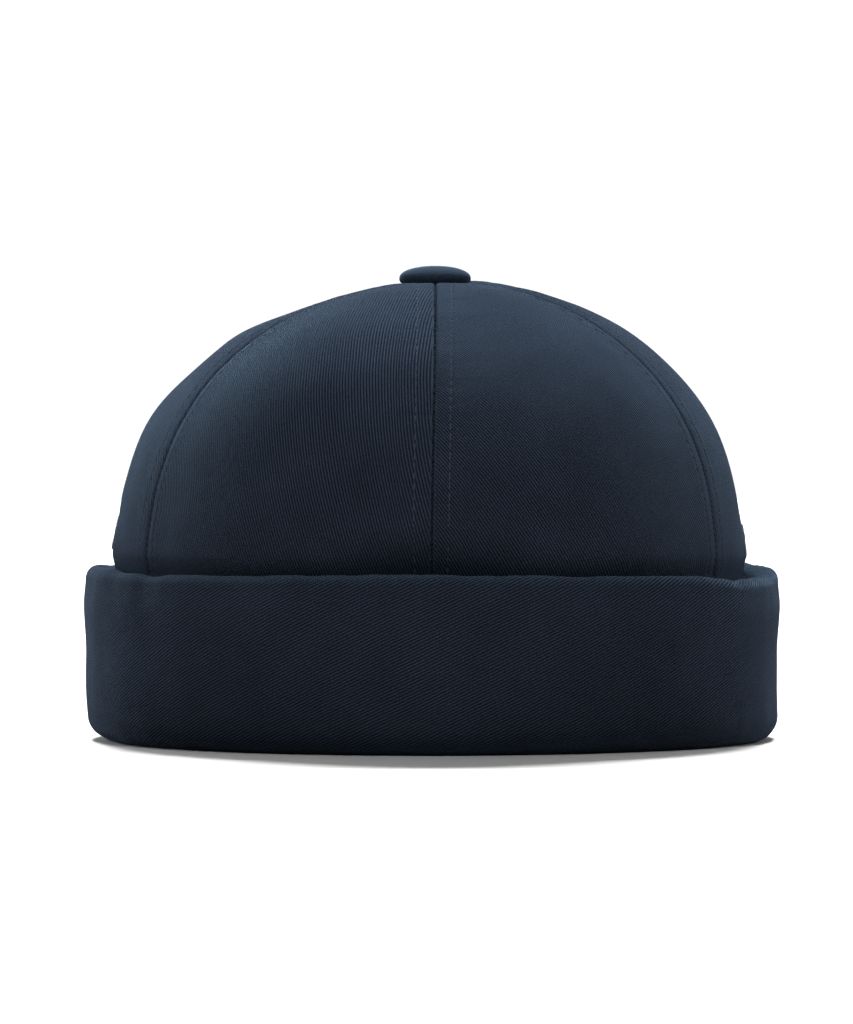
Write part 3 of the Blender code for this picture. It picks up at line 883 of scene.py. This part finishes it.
profile = []
for step in range(BUTTON_STEPS + 1):
    turn = math.radians(90.0 * step / BUTTON_STEPS)
    out = BUTTON_RADIUS * math.sin(turn) ** BUTTON_FULLNESS
    profile.append((out, BUTTON_RIM_HEIGHT + (BUTTON_TOP - BUTTON_RIM_HEIGHT) * math.cos(turn)))
for row in BUTTON_UNDERSIDE:
    below_rim = (BUTTON_RIM_UP + BUTTON_SINK) * row["down"]
    profile.append((BUTTON_RADIUS * row["out"], BUTTON_RIM_HEIGHT - below_rim))
shape = turned(profile, BUTTON_TURNS)
cloth_map = {}
for vert in shape.verts:
    cloth_map[vert.index] = (vert.co.x * MILLIMETRES, vert.co.y * MILLIMETRES)
    below = smooth((PLEATS_BELOW - vert.co.z) / PLEAT_FADE)
    phase = BUTTON_PLEATS * math.atan2(vert.co.y, vert.co.x)
    phase += PLEAT_STRAY * noise.noise(vert.co / PLEAT_WAVE)
    relief = math.sin(phase) * PLEAT_DEPTH * below
    relief += BUTTON_RIPPLE * noise.noise(vert.co / BUTTON_RIPPLE_WAVE)
    scale = 1.0 + relief / max(math.hypot(vert.co.x, vert.co.y), 0.2 * BUTTON_RADIUS)
    vert.co.x *= scale
    vert.co.y *= scale
lay_cloth_map(shape, cloth_map)
bmesh.ops.translate(shape, verts=shape.verts, vec=button_centre)
button_twill = twill_material("button twill", BUTTON_WALE, BUTTON_RELIEF, BUTTON_YARN, BUTTON_SHADED_FURROW)
button_cover = add_piece("button_cover", shape, button_twill)
add_ply(button_cover, CLOTH)
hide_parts("top_button")

RIVET_RADIUS = 0.0019
RIVET_PLATE_RADIUS = 0.0045
RIVET_PLATE_INNER_RADIUS = 0.75 * RIVET_PLATE_RADIUS
RIVET_PLATE = button_low[2]
RIVET_HEAD = BUTTON_SEAT + 0.0006
RIVET_PROFILE = (
    (0.0, RIVET_PLATE),
    (RIVET_PLATE_INNER_RADIUS, RIVET_PLATE + 0.0001),
    (RIVET_PLATE_RADIUS, RIVET_PLATE + 0.0004),
    (RIVET_PLATE_RADIUS, RIVET_PLATE + 0.0008),
    (RIVET_RADIUS, RIVET_PLATE + 0.0010),
    (RIVET_RADIUS, RIVET_HEAD),
    (0.0, RIVET_HEAD),
)
RIVET_TURNS = 40
RIVET_DARK = (0.05, 0.055, 0.07, 1.0)
RIVET_BRIGHT = (0.09, 0.095, 0.11, 1.0)
RIVET_WEAR = {"scale": 900.0, "detail": 4.0, "roughness": 0.3}
RIVET_METALLIC = 0.6
rivet_metal = bpy.data.materials.new("rivet metal")
rivet_metal.use_nodes = True
rivet_tree = rivet_metal.node_tree
rivet_shader = rivet_tree.nodes["Principled BSDF"]
rivet_place = add_node(rivet_tree, "ShaderNodeTexCoord")
rivet_wear = noise_at(rivet_tree, rivet_place.outputs["Object"], RIVET_WEAR)
rivet_rough = calc(rivet_tree, "MULTIPLY_ADD", rivet_wear, RIVET_WEAR["roughness"], RIVET_WEAR["roughness"])
rivet_tone = blend_colours(rivet_tree, rivet_wear, RIVET_DARK, RIVET_BRIGHT)
feed(rivet_tree, rivet_shader.inputs["Base Color"], rivet_tone)
feed(rivet_tree, rivet_shader.inputs["Roughness"], rivet_rough)
rivet_shader.inputs["Metallic"].default_value = RIVET_METALLIC
shape = turned(RIVET_PROFILE, RIVET_TURNS)
bmesh.ops.translate(shape, verts=shape.verts, vec=button_centre)
add_piece("button_rivet", shape, rivet_metal)

# Cuff
# One long strip of twill, cut across the crown's warp, joined at the centre back, folded double and turned
# up. Its raw edge is sewn inside to the crown's hem; the rim is a soft round fold that stands clear of it.
RIM_RADIUS = 0.0030
LEG_RADIUS = 0.0030
LEG_OFFSET = -0.0027
LEG_TOP = 0.012
LEG_ROWS = (1.0, 0.7, 0.45)
POCKET_BOTTOM = 0.009
POCKET_GAP = 0.0021
POCKET_BOTTOM_GAP = 0.0003
FOOT_FLAT = 0.0013
FOOT_START = LEG_OFFSET + LEG_RADIUS
FOOT_END = FOOT_START + FOOT_FLAT
FOLD_RADIUS = CUFF_STAND - FOOT_END
RIM_WAVE = 0.0015
RIM_LINE = (
    {"angle": -180.0, "rise": 0.2},
    {"angle": -130.0, "rise": -0.3},
    {"angle": -92.0, "rise": 0.1},
    {"angle": -53.0, "rise": -0.4},
    {"angle": 0.0, "rise": 0.0},
    {"angle": 46.0, "rise": -0.6},
    {"angle": 63.0, "rise": -1.9},
    {"angle": 76.0, "rise": -1.5},
    {"angle": 90.0, "rise": -0.3},
    {"angle": 110.0, "rise": 0.5},
    {"angle": 150.0, "rise": -0.2},
    {"angle": 180.0, "rise": 0.2},
)
RIM_CREASES = (
    {"angle": -150.0, "width": 2.5, "depth": 0.0004, "down": 0.012},
    {"angle": -118.0, "width": 3.0, "depth": 0.0005, "down": 0.014},
    {"angle": -70.0, "width": 3.0, "depth": -0.0004, "down": 0.012},
    {"angle": -63.0, "width": 3.0, "depth": 0.0005, "down": 0.018},
    {"angle": -54.0, "width": 3.2, "depth": 0.0006, "down": 0.016},
    {"angle": -30.0, "width": 2.5, "depth": 0.0003, "down": 0.010},
    {"angle": 24.0, "width": 3.0, "depth": 0.0003, "down": 0.012},
    {"angle": 61.0, "width": 2.4, "depth": 0.0005, "down": 0.010},
    {"angle": 79.0, "width": 3.0, "depth": 0.0006, "down": 0.013},
    {"angle": 104.0, "width": 3.0, "depth": 0.0005, "down": 0.012},
    {"angle": 141.0, "width": 2.6, "depth": 0.0004, "down": 0.014},
)
FOOT_TUCKS = (
    {"side": -1.0, "depth": 0.0009},
    {"side": 1.0, "depth": -0.0004},
)
FOOT_TUCK_HEIGHT = 0.016
SIDE_FROM = 0.45
SIDE_SPREAD = 0.45
SIDE_SWELL = 0.0003
SIDE_SWELL_HEIGHT = 0.040
SIDE_SWELL_HALF_HEIGHT = 0.016
CUFF_BROAD = {"wave": 0.034, "tall": 0.034, "start": (4.0, 0.0, 2.0), "rise": 0.00045}
CUFF_SMALL = {"wave": 0.012, "tall": 0.030, "start": (0.0, 0.0, 0.0), "rise": 0.00018}
RIM_PUCKER = {"wave": 0.006, "tall": 0.020, "start": (0.0, 0.0, 8.0), "rise": 0.00022}
RIM_PUCKER_FROM = 0.75 * CUFF_HEIGHT
UNEVEN_OFFSET = 0.05
FACE_STARTS = {"offset": FOOT_END, "fade": 0.003}
BACK_SEAM_STARTS = {"offset": -0.001, "fade": 0.002}
BACK_DITCH = {"depth": 0.0006, "width": 0.0005}
BACK_DOUBLE = {"rise": 0.0003, "width": 0.0045, "fade": 0.0025}
CUFF_FACE = (
    {"up": 0.0, "bulge": 0.0},
    {"up": 0.45, "bulge": 0.2},
    {"up": 0.80, "bulge": 1.0},
    {"up": 1.0, "bulge": 0.0},
)
LEG_STEPS = 6
FOOT_STEPS = 12
FACE_STEPS = 26
RIM_STEPS = 14
POCKET_STEPS = 12
CUFF_COLUMNS = 440
BACK_SEAM_STEPS = (0.0, 0.0002, 0.0004, 0.0007, 0.0011, 0.0018, 0.0030, 0.0045, 0.0060, 0.0075)
CUFF_CLOTH = 0.0010
CUFF_WALE = 25.0


def table_value(table, key, place, column):
    """Reads a short table between its rows, with no corners."""
    for here, there in zip(table, table[1:]):
        if here[key] <= place <= there[key]:
            part = smooth((place - here[key]) / (there[key] - here[key]))
            return here[column] + (there[column] - here[column]) * part
    return table[-1][column]


def arc(centre_offset, centre_height, radius, first, last, steps):
    """Points of a fold in the cuff's section, with angles in degrees."""
    turns = [math.radians(first + (last - first) * step / steps) for step in range(steps + 1)]
    return [
        (centre_offset + radius * math.cos(turn), centre_height + radius * math.sin(turn)) for turn in turns
    ]


def cuff_section(rise):
    """(offset from the crown, height) along the face that shows: leg, foot, outer face, rim and pocket."""
    rim_height = CUFF_HEIGHT - RIM_RADIUS + rise
    path = [(LEG_OFFSET, LEG_TOP * row) for row in LEG_ROWS]
    path += arc(FOOT_START, LEG_RADIUS, LEG_RADIUS, 180.0, 270.0, LEG_STEPS)
    path += arc(FOOT_END, FOLD_RADIUS, FOLD_RADIUS, 270.0, 360.0, FOOT_STEPS)
    face = rim_height - FOLD_RADIUS
    for step in range(1, FACE_STEPS):
        up = step / FACE_STEPS
        bulge = CUFF_BULGE * table_value(CUFF_FACE, "up", up, "bulge")
        path.append((CUFF_STAND + bulge, FOLD_RADIUS + face * up))
    path += arc(CUFF_STAND - RIM_RADIUS, rim_height, RIM_RADIUS, 0.0, 180.0, RIM_STEPS)
    for step in range(1, POCKET_STEPS + 1):
        part = step / POCKET_STEPS
        gap = POCKET_GAP + (POCKET_BOTTOM_GAP - POCKET_GAP) * part
        path.append((gap, rim_height + (POCKET_BOTTOM - rim_height) * part))
    return path


def oval_point(angle, offset):
    """A point in plan, offset square from the crown's widest oval."""
    point = Vector((CROWN_HALF_WIDTH * math.sin(angle), -CROWN_HALF_LENGTH * math.cos(angle)))
    normal = Vector((CROWN_HALF_LENGTH * math.sin(angle), -CROWN_HALF_WIDTH * math.cos(angle)))
    return point + normal.normalized() * offset


def cuff_uneven(plan, height, row):
    """How far one row of unevenness moves the strip out here."""
    place = Vector((plan.x / row["wave"], plan.y / row["wave"], height / row["tall"])) + Vector(row["start"])
    return row["rise"] * noise.noise(place)


def cuff_folds(angle, height):
    """How far the creases of the rim and the tucks of the foot draw the strip in."""
    drawn = 0.0
    for fold in RIM_CREASES:
        apart = (math.degrees(angle) - fold["angle"] + 180.0) % 360.0 - 180.0
        deep = smooth(1.0 - (CUFF_HEIGHT - height) / fold["down"])
        drawn += fold["depth"] * math.exp(-((apart / fold["width"]) ** 2)) * deep
    for tuck in FOOT_TUCKS:
        aside = smooth((tuck["side"] * math.sin(angle) - SIDE_FROM) / SIDE_SPREAD)
        drawn += tuck["depth"] * aside * smooth(1.0 - height / FOOT_TUCK_HEIGHT)
        drawn -= SIDE_SWELL * aside * smooth(1.0 - abs(height - SIDE_SWELL_HEIGHT) / SIDE_SWELL_HALF_HEIGHT)
    return drawn


def back_seam_relief(distance):
    """The doubled cloth beside the back seam, less the ditch of the seam itself."""
    ditch = BACK_DITCH["depth"] * math.exp(-((distance / BACK_DITCH["width"]) ** 2))
    beyond = (distance - BACK_DOUBLE["width"]) / BACK_DOUBLE["fade"]
    return BACK_DOUBLE["rise"] * (1.0 - smooth(beyond)) - ditch


mean_radius = (CROWN_HALF_WIDTH + CROWN_HALF_LENGTH) / 2.0 + CUFF_STAND
seam_turns = [step / mean_radius for step in BACK_SEAM_STEPS]
between = np.linspace(seam_turns[-1], 2.0 * math.pi - seam_turns[-1], CUFF_COLUMNS + 1)[1:-1]
cuff_turns = seam_turns + [float(turn) for turn in between]
cuff_turns += [2.0 * math.pi - turn for turn in reversed(seam_turns)]
sections = []
for turn in cuff_turns:
    rim_rise = table_value(RIM_LINE, "angle", math.degrees(turn) - 180.0, "rise")
    sections.append(cuff_section(RIM_WAVE * rim_rise))
section_lengths = [0.0]
for (a_out, a_up), (b_out, b_up) in zip(sections[0], sections[0][1:]):
    section_lengths.append(section_lengths[-1] + math.hypot(b_out - a_out, b_up - a_up))
strips = len(sections[0]) - 1
shape = bmesh.new()
bmesh.ops.create_grid(shape, x_segments=len(cuff_turns) - 1, y_segments=strips, size=0.5)
cloth_map = {}
for vert in shape.verts:
    column = round((vert.co.x + 0.5) * (len(cuff_turns) - 1))
    place = round((vert.co.y + 0.5) * strips)
    angle = cuff_turns[column] - math.pi
    offset, height = sections[column][place]
    before = sections[column][max(place - 1, 0)]
    after = sections[column][min(place + 1, strips)]
    run = Vector((after[0] - before[0], after[1] - before[1])).normalized()
    plan = oval_point(angle, UNEVEN_OFFSET)
    at_rim = smooth((height - RIM_PUCKER_FROM) / (CUFF_HEIGHT - RIM_PUCKER_FROM))
    relief = cuff_uneven(plan, height, CUFF_BROAD) + cuff_uneven(plan, height, CUFF_SMALL)
    relief += cuff_uneven(plan, height, RIM_PUCKER) * at_rim - cuff_folds(angle, height)
    relief *= smooth((offset - FACE_STARTS["offset"]) / FACE_STARTS["fade"])
    seam_distance = min(cuff_turns[column], 2.0 * math.pi - cuff_turns[column]) * mean_radius
    seam_shows = smooth((offset - BACK_SEAM_STARTS["offset"]) / BACK_SEAM_STARTS["fade"])
    relief += back_seam_relief(seam_distance) * seam_shows
    offset += run.y * relief
    height -= run.x * relief
    plan = oval_point(angle, offset)
    vert.co = (plan.x, plan.y, max(height, 0.0))
    cloth_map[vert.index] = (
        cuff_turns[column] * mean_radius * MILLIMETRES,
        section_lengths[place] * MILLIMETRES,
    )
lay_cloth_map(shape, cloth_map)
bmesh.ops.remove_doubles(shape, verts=shape.verts, dist=MERGE_DISTANCE)
cuff_twill = twill_material("cuff twill", CUFF_WALE, WALE_RELIEF, YARN_NAVY, SHADED_FURROW_NAVY)
cuff_piece = add_piece("cloth_cuff", shape, cuff_twill)
add_ply(cuff_piece, CUFF_CLOTH)
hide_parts("cuff")

# Floor
# A plain white sweep. The studio lights burn it out to white for the camera, and it throws back less light
# than it shows, so that the underside of the cuff stays deep.
FLOOR_SIZE = 6.0
FLOOR_SEEN = 0.58
FLOOR_BOUNCE = 0.20
floor_material = bpy.data.materials.new("white sweep")
floor_material.use_nodes = True
floor_tree = floor_material.node_tree
floor_tree.nodes.clear()
floor_seen = add_node(floor_tree, "ShaderNodeBsdfDiffuse")
floor_seen.inputs["Color"].default_value = (FLOOR_SEEN, FLOOR_SEEN, FLOOR_SEEN, 1.0)
floor_bounce = add_node(floor_tree, "ShaderNodeBsdfDiffuse")
floor_bounce.inputs["Color"].default_value = (FLOOR_BOUNCE, FLOOR_BOUNCE, FLOOR_BOUNCE, 1.0)
floor_rays = add_node(floor_tree, "ShaderNodeLightPath")
floor_either = add_node(floor_tree, "ShaderNodeMixShader")
feed(floor_tree, floor_either.inputs[0], floor_rays.outputs["Is Camera Ray"])
feed(floor_tree, floor_either.inputs[1], floor_bounce.outputs[0])
feed(floor_tree, floor_either.inputs[2], floor_seen.outputs[0])
floor_out = add_node(floor_tree, "ShaderNodeOutputMaterial")
feed(floor_tree, floor_out.inputs["Surface"], floor_either.outputs[0])
shape = bmesh.new()
bmesh.ops.create_grid(shape, x_segments=1, y_segments=1, size=FLOOR_SIZE)
floor_mesh = bpy.data.meshes.new("floor")
shape.to_mesh(floor_mesh)
shape.free()
floor_mesh.materials.append(floor_material)
floor = bpy.data.objects.new("floor", floor_mesh)
bpy.context.scene.collection.objects.link(floor)
floor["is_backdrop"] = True

# Light
# Two soft keys behind the cap and a weak sun in front light the floor alone, and the keys' shadows overlap
# in a short lens at the front. Softboxes above, behind and by the camera light the cap alone, with small
# cards lying round the cuff that lift its foot, and low boards behind light its ends.
KEY_ELEVATION = 44.0
KEY_SPREAD = 14.0
KEY_STRENGTH = 6.6
KEY_SOFTNESS = 9.0
FRONT_ELEVATION = 55.0
FRONT_STRENGTH = 0.80
FRONT_SOFTNESS = 25.0
BACKDROP_STRENGTH = 1.05
CARDS = (
    {"at": (0.0, -0.145, 0.001), "size": (0.26, 0.06), "power": 0.018},
    {"at": (-0.140, -0.015, 0.001), "size": (0.06, 0.20), "power": 0.019},
    {"at": (0.140, -0.015, 0.001), "size": (0.06, 0.20), "power": 0.016},
)
SIDE_BOARDS = (
    {"towards": (-0.36, 0.933, 0.0), "strength": 96.0},
    {"towards": (0.36, 0.933, 0.0), "strength": 56.0},
)
BOARD_FOCUS = 14.0
BOARD_LOWNESS = 6.0
FILL_STRENGTH = 0.15
SOFTBOXES = (
    {"from": (0.0, 0.15, 1.25), "size": 0.9, "power": 14.0},
    {"from": (0.0, -1.55, 0.45), "size": 0.9, "power": 2.6},
    {"from": (-0.10, 0.95, 1.25), "size": 0.6, "power": 22.0},
    {"from": (0.25, 0.95, 1.20), "size": 0.6, "power": 27.0},
)
SOFTBOX_COLOUR = (0.86, 0.99, 1.0)
WHITE = (1.0, 1.0, 1.0, 1.0)


def facing(tree, direction, towards, power):
    """A soft patch of the sky about one direction."""
    node = add_node(tree, "ShaderNodeVectorMath", operation="DOT_PRODUCT")
    feed(tree, node.inputs[0], direction)
    node.inputs[1].default_value = towards
    return calc(tree, "POWER", calc(tree, "MAXIMUM", node.outputs["Value"], 0.0), power)


def add_lamp(name, kind, power, place, turn, floor_link):
    """Hangs a lamp that lights the floor alone (INCLUDE) or all but the floor (EXCLUDE)."""
    data = bpy.data.lights.new(name, kind)
    data.energy = power
    lamp = bpy.data.objects.new(name, data)
    lamp.location = place
    lamp.rotation_euler = turn
    lamp.visible_camera = kind == "SUN"
    bpy.context.scene.collection.objects.link(lamp)
    receivers = bpy.data.collections.new(lamp.name + " receivers")
    receivers.objects.link(floor)
    lamp.light_linking.receiver_collection = receivers
    receivers.collection_objects[0].light_linking.link_state = floor_link
    return data


world = bpy.data.worlds.new("studio")
bpy.context.scene.world = world
world.use_nodes = True
sky = world.node_tree
sky.nodes.clear()
sky_place = add_node(sky, "ShaderNodeTexCoord").outputs["Generated"]
sky_parts = add_node(sky, "ShaderNodeSeparateXYZ")
feed(sky, sky_parts.inputs[0], sky_place)
above_table = calc(sky, "MAXIMUM", sky_parts.outputs[2], 0.0)
near_table = calc(sky, "POWER", calc(sky, "SUBTRACT", 1.0, above_table), BOARD_LOWNESS)
tent = FILL_STRENGTH
for board in SIDE_BOARDS:
    glow = calc(sky, "MULTIPLY", facing(sky, sky_place, board["towards"], BOARD_FOCUS), near_table)
    tent = calc(sky, "MULTIPLY_ADD", glow, board["strength"], tent)
lit = add_node(sky, "ShaderNodeBackground")
lit.inputs["Color"].default_value = WHITE
feed(sky, lit.inputs["Strength"], tent)
seen = add_node(sky, "ShaderNodeBackground")
seen.inputs["Color"].default_value = WHITE
seen.inputs["Strength"].default_value = BACKDROP_STRENGTH
rays = add_node(sky, "ShaderNodeLightPath")
either = add_node(sky, "ShaderNodeMixShader")
feed(sky, either.inputs[0], rays.outputs["Is Camera Ray"])
feed(sky, either.inputs[1], lit.outputs[0])
feed(sky, either.inputs[2], seen.outputs[0])
sky_out = add_node(sky, "ShaderNodeOutputWorld")
feed(sky, sky_out.inputs["Surface"], either.outputs[0])
KEY_TILT = math.radians(KEY_ELEVATION - 90.0)
for side in (-1.0, 1.0):
    key_turn = (KEY_TILT, 0.0, math.radians(-side * KEY_SPREAD))
    key = add_lamp("key", "SUN", KEY_STRENGTH, (0.0, 0.0, 0.0), key_turn, "INCLUDE")
    key.angle = math.radians(KEY_SOFTNESS)
front_turn = (math.radians(90.0 - FRONT_ELEVATION), 0.0, 0.0)
front = add_lamp("front", "SUN", FRONT_STRENGTH, (0.0, 0.0, 0.0), front_turn, "INCLUDE")
front.angle = math.radians(FRONT_SOFTNESS)
for row in CARDS:
    card = add_lamp("card", "AREA", row["power"], row["at"], (math.pi, 0.0, 0.0), "EXCLUDE")
    card.shape = "ELLIPSE"
    card.size, card.size_y = row["size"]
for row in SOFTBOXES:
    box_turn = Vector(row["from"]).to_track_quat("Z", "Y").to_euler()
    softbox = add_lamp("softbox", "AREA", row["power"], row["from"], box_turn, "EXCLUDE")
    softbox.shape = "SQUARE"
    softbox.size = row["size"]
    softbox.color = SOFTBOX_COLOUR

# Camera
# Level with the middle of the crown and looking very slightly down, as the photograph was taken.
CAMERA_DISTANCE = 1.900
CAMERA_HEIGHT = 0.088
CAMERA_ASIDE = -0.0014
CAMERA_DIP = 0.743
CAMERA_LENS = 238.6
CAMERA_NEAREST = 0.05
camera_data = bpy.data.cameras.new("camera")
camera_data.lens = CAMERA_LENS
camera_data.clip_start = CAMERA_NEAREST
camera = bpy.data.objects.new("camera", camera_data)
camera.location = (CAMERA_ASIDE, -CAMERA_DISTANCE, CAMERA_HEIGHT)
camera.rotation_euler = (math.radians(90.0 - CAMERA_DIP), 0.0, 0.0)
bpy.context.scene.collection.objects.link(camera)
bpy.context.scene.camera = camera
bpy.context.scene.view_settings.view_transform = "Standard"

low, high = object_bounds()
